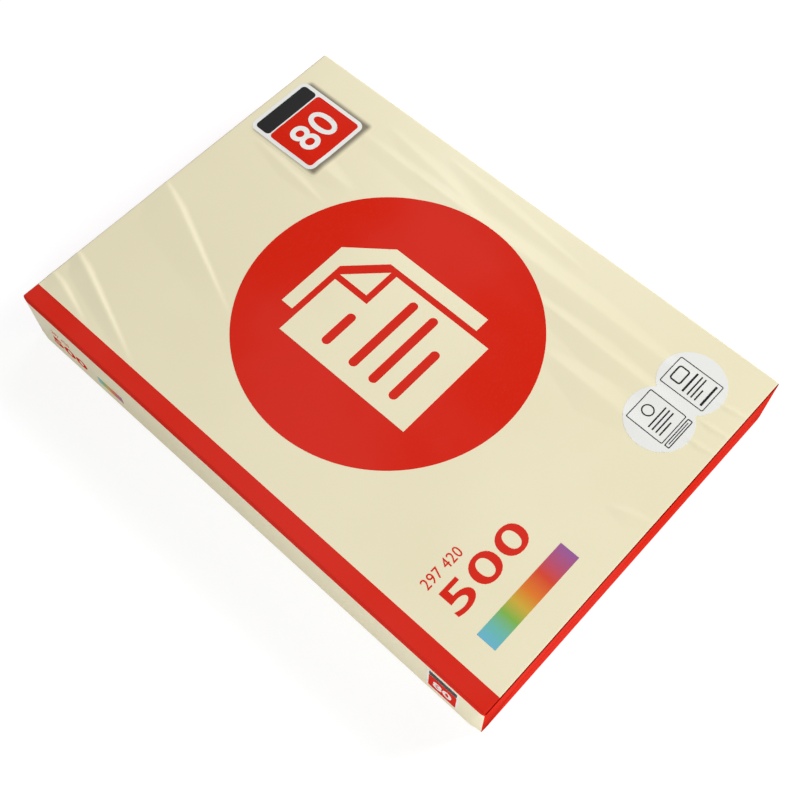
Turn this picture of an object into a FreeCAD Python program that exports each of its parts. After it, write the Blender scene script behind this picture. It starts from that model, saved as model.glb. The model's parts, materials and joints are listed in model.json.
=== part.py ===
"""A sealed ream of A3 paper in its printed wrapper, as one solid, in millimetres.

The pack lies flat with its label upwards. The origin is at the middle of the underside,
+X runs across the label, +Y runs up it and +Z points out of it. One wrapper sheet goes round
the stack, laps over itself under the pack, and is folded shut at both ends: the side tucks
lie against the sheets, the top flap comes down over them, and the bottom flap comes up last.
"""

import FreeCAD
import Part
import math
import os

# The stack of sheets
sheet_width = 297.0
sheet_length = 420.0
sheet_thickness = 0.099
sheet_count = 500

# The wrapper
wrapper_thickness = 0.25
long_fold_radius = 1.8
end_fold_radius = 1.2
lap_edge_offset = 62.0
layer_run_out = 3.0

# The flaps that close each end, all folded from the same overhang of the wrapper
end_overhang = 32.0
flap_slant_deg = 45.0
flap_corner_margin = 0.6

# The facet that each tuck pulls into the long sides beside the ends
tuck_slope = 0.2
tuck_reach_top = 3.0
tuck_reach_base = 9.0

# The tension creases across the label: where each starts, where it is highest and where it
# ends, each as a place across and along the sheet, then its height and how far it spreads to
# the left and to the right of its crest
crease_sink = 0.5
creases = (
    ((-121.6, 207.0), (-124.0, 197.0), (-134.0, 160.0), 1.1, 13.0, 3.6),
    ((-99.4, 207.0), (-104.0, 195.0), (-134.0, 112.0), 1.3, 12.0, 4.0),
    ((-16.8, 207.0), (-25.0, 186.0), (-64.0, 92.0), 1.1, 28.0, 4.6),
    ((55.0, 192.0), (51.0, 152.0), (47.0, 112.0), 0.55, 8.0, 6.0),
    ((75.0, 190.0), (70.0, 146.0), (69.0, 104.0), 0.85, 16.0, 12.0),
    ((130.0, 128.0), (123.0, 70.0), (115.0, 20.0), 0.5, 14.0, 8.0),
    ((139.0, 76.0), (135.0, 20.0), (129.0, -64.0), 0.55, 12.0, 6.0),
    ((112.0, 150.0), (110.5, -80.0), (109.5, -192.0), 1.3, 22.0, 11.0),
    ((90.0, -30.0), (88.0, -110.0), (87.0, -180.0), 1.15, 16.0, 9.0),
    ((62.0, -78.0), (60.0, -125.0), (60.0, -174.0), 1.1, 18.0, 13.0),
    ((74.0, -187.0), (75.0, -198.0), (76.1, -207.0), 0.6, 3.6, 2.8),
    ((90.0, -186.0), (91.0, -197.0), (92.2, -207.0), 0.6, 3.6, 2.8),
    ((108.5, -187.0), (110.0, -198.0), (111.7, -207.0), 0.6, 3.6, 2.8),
    ((2.0, -180.0), (7.0, -194.0), (11.6, -207.0), 0.6, 9.0, 5.0),
)

# Worked out from the sizes above
stack_height = sheet_count * sheet_thickness
pack_width = sheet_width + 2 * wrapper_thickness
tuck_plane = sheet_length / 2 + wrapper_thickness
pack_height = stack_height + 3 * wrapper_thickness

# How far a cutting shape reaches past what it cuts
overshoot = 1.0


def prism(outline, direction):
    """A closed flat outline pushed along a direction to a solid."""
    points = [FreeCAD.Vector(*p) for p in outline]
    face = Part.Face(Part.makePolygon(points + points[:1]))
    return face.extrude(FreeCAD.Vector(*direction))


def wrapped_block():
    """The stack with one layer of wrapper all round and every fold rounded."""
    block = Part.makeBox(
        pack_width,
        2 * tuck_plane,
        pack_height - wrapper_thickness,
        FreeCAD.Vector(-pack_width / 2, -tuck_plane, wrapper_thickness),
    )
    long_edges = [e for e in block.Edges if abs(e.tangentAt(0).y) > 0.99]
    block = block.makeFillet(long_fold_radius, long_edges)
    end_faces = [f for f in block.Faces if abs(f.normalAt(0, 0).y) > 0.99]
    end_edges = [e for f in end_faces for e in f.Edges]
    return block.makeFillet(end_fold_radius, end_edges)


def end_layer(side, fold_z, free_z, layers):
    """A flap on an end: it leaves the fold, runs out to its layers and ends at a free edge.

    side is 1 for the end at +Y and -1 for the other, fold_z the height of its fold line,
    free_z that of its free edge, and layers how many wrapper thicknesses it stands out.
    """
    down = math.copysign(1.0, free_z - fold_z)
    inside = side * (tuck_plane - end_fold_radius)
    plane = side * tuck_plane
    outside = side * (tuck_plane + layers * wrapper_thickness)
    start_z = fold_z + down * end_fold_radius
    section = prism(
        (
            (-pack_width, inside, start_z),
            (-pack_width, plane, start_z),
            (-pack_width, outside, start_z + down * layer_run_out),
            (-pack_width, outside, free_z),
            (-pack_width, inside, free_z),
        ),
        (2 * pack_width, 0, 0),
    )
    slant_run = abs(free_z - fold_z) / math.tan(math.radians(flap_slant_deg))
    fold_half = pack_width / 2 - end_fold_radius - flap_corner_margin
    free_half = fold_half - slant_run
    behind = inside - side * overshoot
    ahead = outside + side * overshoot
    trapezoid = prism(
        (
            (-fold_half, behind, fold_z),
            (fold_half, behind, fold_z),
            (free_half, behind, free_z),
            (-free_half, behind, free_z),
        ),
        (0, ahead - behind, 0),
    )
    return section.common(trapezoid)


def lap_layer():
    """The outer layer under the pack, from the left fold to its free edge along the pack."""
    left = -pack_width / 2 + long_fold_radius
    end = tuck_plane - end_fold_radius
    inside = wrapper_thickness + long_fold_radius
    across = prism(
        (
            (left, -end, inside),
            (left, -end, wrapper_thickness),
            (left + layer_run_out, -end, 0),
            (lap_edge_offset, -end, 0),
            (lap_edge_offset, -end, inside),
        ),
        (0, 2 * end, 0),
    )
    along = prism(
        (
            (-pack_width, -end, inside),
            (-pack_width, -end, wrapper_thickness),
            (-pack_width, -end + layer_run_out, 0),
            (-pack_width, end - layer_run_out, 0),
            (-pack_width, end, wrapper_thickness),
            (-pack_width, end, inside),
        ),
        (2 * pack_width, 0, 0),
    )
    return across.common(along)


def tuck_facet(side, hand):
    """What a tuck takes off a long side beside an end: a wedge that widens towards the base.

    side is 1 for the end at +Y and -1 for the other, hand 1 for the side at +X and -1 for the
    other.
    """
    beyond = 2 * tuck_reach_base
    reach_slant = (tuck_reach_base - tuck_reach_top) / pack_height
    points = []
    for z in (-beyond, pack_height + beyond):
        reach = tuck_reach_base - reach_slant * z
        edge_x, edge_y = pack_width / 2, tuck_plane - reach
        ahead = reach + beyond
        points.append((hand * edge_x, side * edge_y, z))
        points.append((hand * (edge_x - ahead * tuck_slope), side * (edge_y + ahead), z))
    low_edge, low_far, high_edge, high_far = points
    return prism((low_edge, low_far, high_far, high_edge), (hand * beyond, 0, 0))


def crease(start, peak, end, height, left_spread, right_spread):
    """A shallow ridge pulled up in the label: a kite in plan that rises to its peak."""
    top = pack_height
    run = math.hypot(end[0] - start[0], end[1] - start[1])
    across = ((start[1] - end[1]) / run, (end[0] - start[0]) / run)
    near = FreeCAD.Vector(start[0], start[1], top)
    far = FreeCAD.Vector(end[0], end[1], top)
    left, right = (
        FreeCAD.Vector(peak[0] + spread * across[0], peak[1] + spread * across[1], top)
        for spread in (-left_spread, right_spread)
    )
    crest = FreeCAD.Vector(peak[0], peak[1], top + height)
    keel = FreeCAD.Vector(peak[0], peak[1], top - crease_sink)
    triangles = []
    for tip in (crest, keel):
        for a, b in ((near, left), (left, far), (far, right), (right, near)):
            triangles.append(Part.Face(Part.makePolygon([a, b, tip, a])))
    solid = Part.Solid(Part.Shell(triangles))
    if solid.Volume < 0:
        solid.reverse()
    return solid


def wrapped_ream():
    """The whole sealed pack."""
    pack = wrapped_block()
    layers = [lap_layer()]
    for side in (1, -1):
        layers.append(end_layer(side, pack_height, pack_height - end_overhang, 1))
        layers.append(end_layer(side, wrapper_thickness, end_overhang, 2))
    pack = pack.fuse(layers)
    pack = pack.cut([tuck_facet(side, hand) for side in (1, -1) for hand in (1, -1)])
    pack = pack.fuse([crease(*c) for c in creases])
    return pack.removeSplitter()


os.makedirs("parts", exist_ok=True)
shape = wrapped_ream()
box = shape.BoundBox
print("solids", len(shape.Solids), "valid", shape.isValid(), "volume", round(shape.Volume))
print("x", box.XMin, box.XMax, "y", box.YMin, box.YMax, "z", box.ZMin, box.ZMax)
shape.exportStep("parts/wrapped_ream.step")
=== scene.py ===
"""Dresses the sealed pack of large paper in its printed wrapper.

The wrapper is one coated sheet. It goes round the stack, laps over itself under the pack and is
shut by folds at both ends. Its print is made of films of ink, each a thin closed mesh that lies on
the paper. The round fold between the label and each end is a darker red, a painted shade. One
Geometry Nodes tree presses the same creases and waves into the paper and the ink.
"""

import json
import logging
import math
from dataclasses import dataclass, field
from enum import Enum
from typing import Callable, Iterable, Sequence

import bpy
import numpy as np
from mathutils import Euler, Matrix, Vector
from mathutils.geometry import delaunay_2d_cdt

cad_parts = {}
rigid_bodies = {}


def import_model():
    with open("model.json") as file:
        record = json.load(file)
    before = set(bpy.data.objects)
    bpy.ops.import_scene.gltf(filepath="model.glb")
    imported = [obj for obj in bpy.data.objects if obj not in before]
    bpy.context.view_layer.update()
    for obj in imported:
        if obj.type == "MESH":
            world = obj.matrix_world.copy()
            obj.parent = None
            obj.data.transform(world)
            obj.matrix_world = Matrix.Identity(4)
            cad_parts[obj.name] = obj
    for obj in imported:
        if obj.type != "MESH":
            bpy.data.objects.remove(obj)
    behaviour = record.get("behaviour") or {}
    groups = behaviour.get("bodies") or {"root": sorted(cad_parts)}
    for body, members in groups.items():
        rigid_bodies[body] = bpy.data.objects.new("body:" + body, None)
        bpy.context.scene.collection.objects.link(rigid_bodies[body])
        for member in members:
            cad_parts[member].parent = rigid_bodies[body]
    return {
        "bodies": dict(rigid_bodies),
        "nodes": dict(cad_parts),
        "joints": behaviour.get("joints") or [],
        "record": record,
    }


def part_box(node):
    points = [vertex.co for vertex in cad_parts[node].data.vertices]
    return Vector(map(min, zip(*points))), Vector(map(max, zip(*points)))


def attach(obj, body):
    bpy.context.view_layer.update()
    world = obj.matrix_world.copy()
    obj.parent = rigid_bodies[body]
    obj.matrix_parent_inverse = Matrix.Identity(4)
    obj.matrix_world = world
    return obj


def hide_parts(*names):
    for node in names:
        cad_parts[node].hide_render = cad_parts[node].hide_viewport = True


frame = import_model()

MM = 0.001
NODE = "wrapped_ream"
INKED = "inked"
PAINTED_FOLD_SHADE_MARK = "painted_fold_shade"

log = logging.getLogger("wrapped_pack")

Outline = np.ndarray
Colour = tuple[float, float, float]
Spot = tuple[float, float]
Bounds = tuple[float, float, float, float]
RoundBox = tuple[float, float, float, float, float]
Figures = tuple[str, float, float, float, float, float]


class Ink(Enum):
    """The inks of the wrapper's print, and the painted shade on its end folds, by the name of each
    finish.
    """

    GROUND = "cream_ground"
    RED = "red_ink"
    # Painted shade: a darker red on the round fold between the label and each end.
    PAINTED_FOLD_SHADE = "painted_fold_shade_red_ink"
    SHADE = "shade_ink"
    WHITE = "white_ink"
    DARK = "dark_ink"
    KNOCKOUT = "cream_knockout"
    SPECTRUM = "spectrum_ink"
    SIDE_SPECTRUM = "side_spectrum_ink"


class Graph:
    """A node tree under construction, with a short call for each kind of step."""

    def __init__(self, tree: bpy.types.NodeTree) -> None:
        """Keep the tree that the nodes go into."""
        self.tree = tree

    def feed(self, socket: bpy.types.NodeSocket, value: object) -> None:
        """Join a socket to another node's output, or give it a plain value."""
        if isinstance(value, bpy.types.NodeSocket):
            self.tree.links.new(value, socket)
        else:
            socket.default_value = value

    def add(self, kind: str, values: dict | None = None, **settings: object) -> bpy.types.Node:
        """Add one node.

        Args:
            kind: the node's type name.
            values: what each input gets, by its name or its number.
            settings: the node's own properties.

        Returns:
            The new node.
        """
        node = self.tree.nodes.new(kind)
        for key, value in settings.items():
            setattr(node, key, value)
        for key, value in (values or {}).items():
            self.feed(node.inputs[key], value)
        return node

    def math(self, operation: str, *values: object, clamp: bool = False) -> bpy.types.NodeSocket:
        """Add a math node on plain numbers and return its result."""
        inputs = dict(enumerate(values))
        node = self.add("ShaderNodeMath", inputs, operation=operation, use_clamp=clamp)
        return node.outputs[0]

    def vector(self, operation: str, *values: object) -> bpy.types.NodeSocket:
        """Add a vector math node and return its result, a number for a dot product or a length."""
        node = self.add("ShaderNodeVectorMath", dict(enumerate(values)), operation=operation)
        plain = operation in ("DOT_PRODUCT", "LENGTH", "DISTANCE")
        return node.outputs["Value" if plain else "Vector"]

    def ramp(
        self, value: object, low: object, high: object, smooth: bool = True
    ) -> bpy.types.NodeSocket:
        """Return how far a value has gone from low to high, from 0 to 1.

        Args:
            value: the value.
            low: where it starts.
            high: where it ends.
            smooth: whether it eases in and out, or rises evenly.

        Returns:
            The share.
        """
        shape = "SMOOTHSTEP" if smooth else "LINEAR"
        node = self.add("ShaderNodeMapRange", {0: value, 1: low, 2: high}, interpolation_type=shape)
        return node.outputs[0]

    def mix(self, factor: object, first: object, second: object) -> bpy.types.NodeSocket:
        """Mix two colours and return the result."""
        node = self.add("ShaderNodeMix", {0: factor, 6: first, 7: second}, data_type="RGBA")
        return node.outputs[2]


def linear(colour: Colour) -> tuple[float, float, float, float]:
    """Turn a colour from 0 to 255, as it is seen, into a shader's own scale.

    Args:
        colour: its red, green and blue.

    Returns:
        Its linear red, green and blue, and 1 for its opacity.
    """
    parts = [c / 255 for c in colour]
    return (*(p / 12.92 if p <= 0.04045 else ((p + 0.055) / 1.055) ** 2.4 for p in parts), 1.0)


@dataclass(frozen=True)
class CoatedPaper:
    """The wrapper's coated face where one ink covers it."""

    name: str
    colour: Colour
    roughness: float = 0.45
    specular: float = 0.35
    coat: float = 0.32
    coat_roughness: float = 0.28
    mottle: float = 0.035
    mottle_scale: float = 7.0
    mottle_range: tuple[float, float] = (0.35, 0.65)
    gloss_range: tuple[float, float] = (0.3, 0.7)
    gloss_spread: tuple[float, float] = (0.03, 0.04)
    fibre_scale: float = 900.0
    fibre_depth: float = 0.02 * MM
    fleck: float = 0.03
    fleck_share: float = 0.6
    fleck_range: tuple[float, float] = (0.5, 0.72)

    def tone(self, graph: Graph, place: bpy.types.NodeSocket) -> bpy.types.NodeSocket:
        """Return the ink's own colour before the paper under it shows through."""
        raise NotImplementedError

    def material(self) -> bpy.types.Material:
        """Build the finish: an ink that mottles a little, over fine fibres under a satin coat.

        Returns:
            The finish, under the ink's own name.
        """
        made = bpy.data.materials.new(self.name)
        made.use_nodes = True
        made.node_tree.nodes.clear()
        graph = Graph(made.node_tree)
        place = graph.add("ShaderNodeTexCoord").outputs["Object"]
        values = {"Vector": place, "Scale": self.mottle_scale, "Detail": 3.0}
        cloudy = graph.add("ShaderNodeTexNoise", values).outputs[0]
        values = {"Vector": place, "Scale": self.fibre_scale, "Detail": 4.0}
        fibres = graph.add("ShaderNodeTexNoise", values).outputs[0]
        tone = self.tone(graph, place)
        values = {"Saturation": 1.0 + self.mottle, "Value": 1.0 - self.mottle, "Color": tone}
        deep = graph.add("ShaderNodeHueSaturation", values).outputs[0]
        values = {"Value": 1.0 - self.fleck, "Color": tone}
        fleck = graph.add("ShaderNodeHueSaturation", values).outputs[0]
        clouds = graph.ramp(cloudy, *self.mottle_range)
        threads = graph.ramp(fibres, *self.fleck_range)
        colour = graph.mix(clouds, tone, deep)
        colour = graph.mix(graph.math("MULTIPLY", threads, self.fleck_share), colour, fleck)
        smoother, rougher = self.gloss_spread
        levels = (*self.gloss_range, self.roughness - smoother, self.roughness + rougher)
        gloss = graph.add("ShaderNodeMapRange", dict(enumerate((cloudy, *levels)))).outputs[0]
        values = {"Strength": 1.0, "Distance": self.fibre_depth, "Height": fibres}
        bump = graph.add("ShaderNodeBump", values).outputs[0]
        values = {"Base Color": colour, "Roughness": gloss, "Normal": bump}
        skin = graph.add("ShaderNodeBsdfPrincipled", values)
        skin.inputs["Specular IOR Level"].default_value = self.specular
        skin.inputs["Coat Weight"].default_value = self.coat
        skin.inputs["Coat Roughness"].default_value = self.coat_roughness
        graph.add("ShaderNodeOutputMaterial", {"Surface": skin.outputs[0]})
        return made


@dataclass(frozen=True)
class PlainInk(CoatedPaper):
    """One flat ink."""

    def tone(self, graph: Graph, place: bpy.types.NodeSocket) -> bpy.types.NodeSocket:
        """Return the ink's colour."""
        node = graph.add("ShaderNodeRGB")
        node.outputs[0].default_value = linear(self.colour)
        return node.outputs[0]


@dataclass(frozen=True)
class SpectrumInk(CoatedPaper):
    """An ink that runs from blue through the warm colours to purple along one axis."""

    axis: str = "X"
    start: float = 0.0
    end: float = 1.0
    stops: tuple[tuple[float, Colour], ...] = (
        (0.0, (104, 178, 205)),
        (0.13, (104, 182, 170)),
        (0.27, (124, 176, 70)),
        (0.40, (205, 168, 58)),
        (0.53, (222, 120, 38)),
        (0.70, (212, 66, 40)),
        (0.84, (180, 76, 110)),
        (1.0, (146, 88, 152)),
    )

    def tone(self, graph: Graph, place: bpy.types.NodeSocket) -> bpy.types.NodeSocket:
        """Return the colour at each place along the strip."""
        parts = graph.add("ShaderNodeSeparateXYZ", {0: place})
        share = graph.ramp(parts.outputs[self.axis], self.start, self.end, smooth=False)
        band = graph.add("ShaderNodeValToRGB", {0: share})
        points = band.color_ramp.elements
        for place_on_band, colour in self.stops[1:-1]:
            points.new(place_on_band).color = linear(colour)
        points[0].color = linear(self.stops[0][1])
        points[-1].color = linear(self.stops[-1][1])
        return band.outputs[0]


@dataclass(frozen=True)
class ShadeInk(CoatedPaper):
    """A soft printed shade that darkens the ground round a rectangle, in metres."""

    low: Spot = (0.0, 0.0)
    high: Spot = (1.0, 1.0)
    reach: float = 1.0
    shade: Colour = (128, 118, 96)

    def tone(self, graph: Graph, place: bpy.types.NodeSocket) -> bpy.types.NodeSocket:
        """Return the colour at each distance from the rectangle."""
        centre = tuple((a + b) / 2 for a, b in zip(self.low, self.high))
        half = tuple((b - a) / 2 for a, b in zip(self.low, self.high))
        away = graph.vector("ABSOLUTE", graph.vector("SUBTRACT", place, (*centre, 0.0)))
        past = graph.vector("SUBTRACT", away, (*half, 1.0))
        beyond = graph.vector("MAXIMUM", past, (0.0, 0.0, 0.0))
        share = graph.ramp(graph.vector("LENGTH", beyond), self.reach, 0.0)
        return graph.mix(share, linear(self.colour), linear(self.shade))


@dataclass(frozen=True)
class Crease:
    """A ridge that the closing of the pack pulls up in the label, in millimetres.

    It runs from start over its highest place, peak, to its end, and dies away over its two
    spreads, to the left and to the right of its crest as the label is read.
    """

    start: Spot
    peak: Spot
    end: Spot
    height: float
    left_spread: float
    right_spread: float


@dataclass
class PackSizes:
    """The pack's sizes in metres: those of the solid, and those of the paper on it.

    The solid's top is that of its highest crease, and crease_height is that crease's height.
    """

    low: Vector
    high: Vector
    layer: float = 0.25 * MM
    long_fold: float = 1.8 * MM
    end_fold: float = 1.2 * MM
    lap_edge: float = 62.0 * MM
    layer_run_out: float = 3.0 * MM
    crease_height: float = 1.3 * MM

    @property
    def half_width(self) -> float:
        """Half the width across the label."""
        return (self.high.x - self.low.x) / 2

    @property
    def tuck_plane(self) -> float:
        """How far each end's tucks lie from the middle."""
        return (self.high.y - self.low.y) / 2 - 2 * self.layer

    @property
    def top(self) -> float:
        """The height of the label between its creases."""
        return self.high.z - self.crease_height


@dataclass
class Relief:
    """Everything that lifts the wrapper off a true block: creases, waves and pulled-in corners."""

    sizes: PackSizes
    creases: tuple[Crease, ...]
    wave_height: float = 0.26 * MM
    wave_scale: float = 11.0
    side_wave: float = 0.30 * MM
    side_wave_scale: float = 14.0
    end_wave: float = 0.22 * MM
    label_stretch: tuple[float, float, float] = (1.3, 0.55, 0.0)
    side_stretch: tuple[float, float, float] = (0.0, 0.5, 1.2)
    end_stretch: tuple[float, float, float] = (0.5, 0.0, 1.6)
    quiet_base: tuple[float, float] = (1.0 * MM, 14.0 * MM)
    flat_edge: float = 0.2 * MM
    tip_spread: float = 0.35
    crest_round: float = 0.10
    left_curve: float = 1.1
    right_curve: float = 1.35
    tuck_slope: float = 0.20
    tuck_reach_top: float = 3.0 * MM
    tuck_reach_base: float = 9.0 * MM
    seed: int = 11

    def crease_group(self) -> bpy.types.NodeTree:
        """Build the group that gives one crease's height at a place.

        Returns:
            A geometry group with an input for each of the crease's own values.
        """
        tree = bpy.data.node_groups.new("crease_height", "GeometryNodeTree")
        for name, kind in (
            ("Place", "NodeSocketVector"),
            ("Start", "NodeSocketVector"),
            ("Peak", "NodeSocketVector"),
            ("End", "NodeSocketVector"),
            ("Height", "NodeSocketFloat"),
            ("Left Spread", "NodeSocketFloat"),
            ("Right Spread", "NodeSocketFloat"),
        ):
            tree.interface.new_socket(name, in_out="INPUT", socket_type=kind)
        tree.interface.new_socket("Lift", in_out="OUTPUT", socket_type="NodeSocketFloat")
        graph = Graph(tree)
        given = graph.add("NodeGroupInput").outputs
        chord = graph.vector("SUBTRACT", given["End"], given["Start"])
        length = graph.vector("LENGTH", chord)
        ahead = graph.vector("NORMALIZE", chord)
        away = graph.vector("SUBTRACT", given["Place"], given["Start"])
        summit = graph.vector("SUBTRACT", given["Peak"], given["Start"])
        along = graph.vector("DOT_PRODUCT", away, ahead)
        turn = graph.vector("DOT_PRODUCT", summit, ahead)
        cross = graph.vector("CROSS_PRODUCT", away, ahead)
        aside = graph.add("ShaderNodeSeparateXYZ", {0: cross}).outputs["Z"]
        cross = graph.vector("CROSS_PRODUCT", summit, ahead)
        bend = graph.add("ShaderNodeSeparateXYZ", {0: cross}).outputs["Z"]
        climb = graph.math("DIVIDE", along, turn, clamp=True)
        left_over = graph.math("SUBTRACT", length, along)
        descent = graph.math("SUBTRACT", length, turn)
        fade = graph.math("DIVIDE", left_over, descent, clamp=True)
        share = graph.math("MINIMUM", climb, fade)
        aside = graph.math("SUBTRACT", aside, graph.math("MULTIPLY", bend, share))
        on_left = graph.math("GREATER_THAN", aside, 0.0)
        wider = graph.math("SUBTRACT", given["Left Spread"], given["Right Spread"])
        spread = graph.math("ADD", given["Right Spread"], graph.math("MULTIPLY", on_left, wider))
        widening = graph.math("MULTIPLY", share, 1.0 - self.tip_spread)
        spread = graph.math("MULTIPLY", spread, graph.math("ADD", self.tip_spread, widening))
        ratio = graph.math("DIVIDE", aside, spread)
        square = graph.math("MULTIPLY", ratio, ratio)
        ratio = graph.math("SQRT", graph.math("ADD", square, self.crest_round**2))
        slope = graph.math("SUBTRACT", 1.0 + self.crest_round, ratio, clamp=True)
        steeper = graph.math("MULTIPLY", on_left, self.left_curve - self.right_curve)
        curve = graph.math("ADD", self.right_curve, steeper)
        section = graph.math("POWER", slope, curve)
        rise = graph.math("SINE", graph.math("MULTIPLY", share, math.pi / 2))
        lift = graph.math("MULTIPLY", rise, section)
        graph.add("NodeGroupOutput", {"Lift": graph.math("MULTIPLY", lift, given["Height"])})
        return tree

    def wave(
        self,
        graph: Graph,
        place: bpy.types.NodeSocket,
        scale: float,
        seed: bpy.types.NodeSocket,
        stretch: tuple[float, float, float],
    ) -> bpy.types.NodeSocket:
        """Add a soft uneven wave.

        Args:
            graph: the tree that it goes into.
            place: where it is read.
            scale: how fine it is.
            seed: which of its kind it is.
            stretch: how much each axis counts; the wave is longer along those that count less.

        Returns:
            Its height, from about -1 to 1.
        """
        drawn = graph.vector("MULTIPLY", place, stretch)
        values = {"Vector": drawn, "W": seed, "Scale": scale, "Detail": 1.0}
        noise = graph.add("ShaderNodeTexNoise", values, noise_dimensions="4D")
        return graph.math("MULTIPLY", graph.math("SUBTRACT", noise.outputs[0], 0.5), 2.0)

    def tree(self) -> bpy.types.NodeTree:
        """Build the tree that presses the relief into a mesh and gives it its finish.

        Returns:
            A geometry tree with named inputs for the finishes, the relief's share and the seed.
        """
        made = bpy.data.node_groups.new("paper_relief", "GeometryNodeTree")
        for name, kind, default in (
            ("Geometry", "NodeSocketGeometry", None),
            ("Ground", "NodeSocketMaterial", None),
            ("Inked", "NodeSocketMaterial", None),
            ("Painted Fold Shade", "NodeSocketMaterial", None),
            ("Relief", "NodeSocketFloat", 1.0),
            ("Wave Height", "NodeSocketFloat", self.wave_height),
            ("Seed", "NodeSocketInt", self.seed),
        ):
            socket = made.interface.new_socket(name, in_out="INPUT", socket_type=kind)
            if default is not None:
                socket.default_value = default
        made.interface.new_socket("Geometry", in_out="OUTPUT", socket_type="NodeSocketGeometry")
        graph = Graph(made)
        given = graph.add("NodeGroupInput").outputs
        place = graph.add("GeometryNodeInputPosition").outputs[0]
        parts = graph.add("ShaderNodeSeparateXYZ", {0: place}).outputs
        sizes = self.sizes
        top, wide, far = sizes.top, sizes.half_width, sizes.tuck_plane
        near = self.flat_edge
        aside = graph.math("ABSOLUTE", parts["X"])
        along = graph.math("ABSOLUTE", parts["Y"])
        on_top = graph.ramp(parts["Z"], top - sizes.long_fold, top - near)
        on_side = graph.ramp(aside, wide - sizes.long_fold, wide - near)
        on_end = graph.ramp(along, far - sizes.end_fold, far - near)
        above_base = graph.ramp(parts["Z"], *self.quiet_base)

        on_plan = graph.vector("MULTIPLY", place, (1.0, 1.0, 0.0))
        group = self.crease_group()
        swell = self.wave(graph, place, self.wave_scale, given["Seed"], self.label_stretch)
        lift = graph.math("MULTIPLY", swell, given["Wave Height"])
        for crease in self.creases:
            node = graph.add("GeometryNodeGroup", node_tree=group)
            for name, value in (
                ("Place", on_plan),
                ("Start", (crease.start[0] * MM, crease.start[1] * MM, 0.0)),
                ("Peak", (crease.peak[0] * MM, crease.peak[1] * MM, 0.0)),
                ("End", (crease.end[0] * MM, crease.end[1] * MM, 0.0)),
                ("Height", crease.height * MM),
                ("Left Spread", crease.left_spread * MM),
                ("Right Spread", crease.right_spread * MM),
            ):
                graph.feed(node.inputs[name], value)
            lift = graph.math("ADD", lift, node.outputs[0])
        lift = graph.math("MULTIPLY", lift, on_top)

        lower = graph.math("SUBTRACT", 1.0, graph.math("DIVIDE", parts["Z"], top, clamp=True))
        widening = graph.math("MULTIPLY", lower, self.tuck_reach_base - self.tuck_reach_top)
        reach = graph.math("ADD", self.tuck_reach_top, widening)
        edge = graph.math("SUBTRACT", far, along)
        tuck = graph.math("MAXIMUM", graph.math("SUBTRACT", reach, edge), 0.0)
        tuck = graph.math("MINIMUM", tuck, reach)
        bulge = self.wave(graph, place, self.side_wave_scale, given["Seed"], self.side_stretch)
        bulge = graph.math("MULTIPLY", graph.math("MULTIPLY", bulge, self.side_wave), above_base)
        sideways = graph.math("SUBTRACT", bulge, graph.math("MULTIPLY", tuck, self.tuck_slope))
        sideways = graph.math("MULTIPLY", sideways, on_side)
        sideways = graph.math("MULTIPLY", sideways, graph.math("SIGN", parts["X"]))

        puff = self.wave(graph, place, self.side_wave_scale, given["Seed"], self.end_stretch)
        puff = graph.math("MULTIPLY", graph.math("MULTIPLY", puff, self.end_wave), on_end)
        outwards = graph.math("MULTIPLY", above_base, graph.math("SIGN", parts["Y"]))
        puff = graph.math("MULTIPLY", puff, outwards)

        shift = graph.add("ShaderNodeCombineXYZ", {0: sideways, 1: puff, 2: lift}).outputs[0]
        evenly = {axis: given["Relief"] for axis in range(3)}
        share = graph.add("ShaderNodeCombineXYZ", evenly).outputs[0]
        values = {"Geometry": given["Geometry"], "Offset": graph.vector("MULTIPLY", shift, share)}
        moved = graph.add("GeometryNodeSetPosition", values).outputs[0]
        solid = graph.add("GeometryNodeRealizeInstances", {0: moved}).outputs[0]
        values = {"Geometry": solid, "Material": given["Ground"]}
        finished = graph.add("GeometryNodeSetMaterial", values).outputs[0]
        # The faces on the end folds get the painted shade, a darker red than the ink.
        for name, attribute in (("Inked", INKED), ("Painted Fold Shade", PAINTED_FOLD_SHADE_MARK)):
            marked = graph.add(
                "GeometryNodeInputNamedAttribute", {"Name": attribute}, data_type="BOOLEAN"
            ).outputs["Attribute"]
            values = {"Geometry": finished, "Selection": marked, "Material": given[name]}
            finished = graph.add("GeometryNodeSetMaterial", values).outputs[0]
        graph.add("NodeGroupOutput", {0: finished})
        return made


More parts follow.
